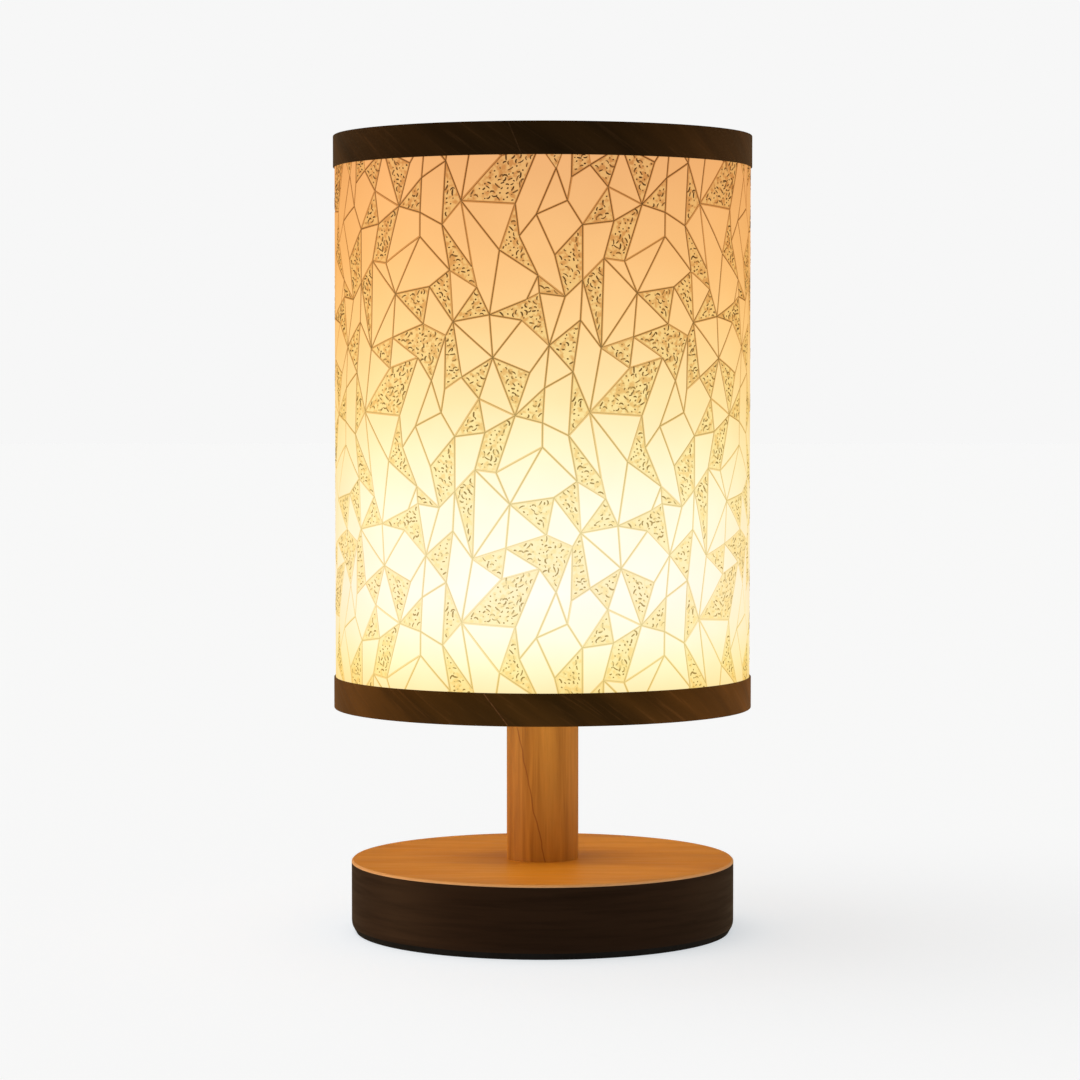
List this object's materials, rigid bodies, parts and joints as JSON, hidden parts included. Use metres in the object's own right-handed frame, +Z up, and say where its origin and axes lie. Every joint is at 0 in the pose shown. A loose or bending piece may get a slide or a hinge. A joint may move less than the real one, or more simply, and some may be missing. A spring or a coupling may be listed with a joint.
{
  "type": "table lamp",
  "caption": "Small bedside table lamp: round wooden base and post, drum shade of shard-patterned translucent sheet with dark trim bands, screw-in bulb inside.",
  "frame": {"origin": "centre of the foot pad's underside, on the surface that the lamp stands on", "axes": "+Z up along the post, -Y towards the front, the cord bush at +Y"},
  "size_m": [0.13, 0.13, 0.2474],
  "materials": {
    "pad_foam": "matt closed-cell foam",
    "base_dark_wood": "dark walnut stain, satin",
    "base_top_wood": "caramel stain, satin",
    "post_wood": "caramel stain, satin, grain along the post",
    "steel_zinc": "zinc plated",
    "bush_plastic": "moulded, matt",
    "block_nylon": "moulded nylon",
    "brass": "plain",
    "screw_steel": "zinc plated",
    "lead_brown": "PVC insulation",
    "lead_blue": "PVC insulation",
    "holder_plastic": "moulded, semi-gloss",
    "holder_core": "unglazed steatite",
    "white_wire": "white coated steel wire",
    "shade_film": "translucent printed and embossed sheet, satin",
    "seam_film": "translucent strip",
    "band_dark": "dark wood-grain trim, satin",
    "bulb_cap_metal": "nickel plated",
    "solder": "tinned",
    "black_insulator": "fused glass",
    "bulb_collar": "moulded, semi-gloss",
    "board_white": "white solder mask",
    "chip_yellow": "phosphor",
    "driver_green": "circuit board",
    "globe_frosted": "frosted, lit"
  },
  "bodies": {
    "stand": {"foot_pad": "pad_foam", "base_disc": "base_dark_wood", "base_top_layer": "base_top_wood", "post": "post_wood", "threaded_tube": "steel_zinc", "tube_nut": "steel_zinc", "tube_washer": "steel_zinc", "seat_washer": "steel_zinc", "cord_bush": "bush_plastic", "terminal_block": "block_nylon", "terminal_sleeves": "brass", "terminal_screws": "screw_steel", "block_fixing_screw": "screw_steel", "lead_live": "lead_brown", "lead_neutral": "lead_blue", "holder_cap": "holder_plastic", "cap_grub_screw": "screw_steel", "holder_body": "holder_plastic", "holder_insert": "holder_core", "screw_shell": "brass", "centre_contact": "brass", "holder_terminals": "brass", "holder_terminal_screws": "screw_steel"},
    "shade_unit": {"shade_spider": "white_wire", "upper_hoop": "white_wire", "shade_sheet": "shade_film", "seam_strip": "seam_film", "top_band": "band_dark", "bottom_band": "band_dark"},
    "ring_unit": {"shade_ring": "holder_plastic"},
    "bulb_carrier": {"bulb_tip": "solder"},
    "bulb_unit": {"bulb_insulator": "black_insulator", "bulb_cap": "bulb_cap_metal", "bulb_collar": "bulb_collar", "bulb_led_board": "board_white", "bulb_led_chips": "chip_yellow", "bulb_driver_board": "driver_green", "bulb_globe": "globe_frosted"}
  },
  "joints": [
    {"name": "shade_lift", "type": "slide", "parent": "stand", "child": "shade_unit", "axis": [0, 0, 1], "range_m": [0, 0.08]},
    {"name": "ring_turn", "type": "hinge", "parent": "shade_unit", "child": "ring_unit", "pos_m": [0, 0, 0.0902], "axis": [0, 0, 1], "continuous": true},
    {"name": "bulb_rise", "type": "slide", "parent": "stand", "child": "bulb_carrier", "axis": [0, 0, 1], "range_m": [0, 0.016]},
    {"name": "bulb_turn", "type": "hinge", "parent": "bulb_carrier", "child": "bulb_unit", "pos_m": [0, 0, 0.0925], "axis": [0, 0, 1], "range_deg": [0, 1980]}
  ],
  "couplings": [
    {"joint": "bulb_rise", "follows": "bulb_turn", "m_per_rad": 0.00044914}
  ]
}
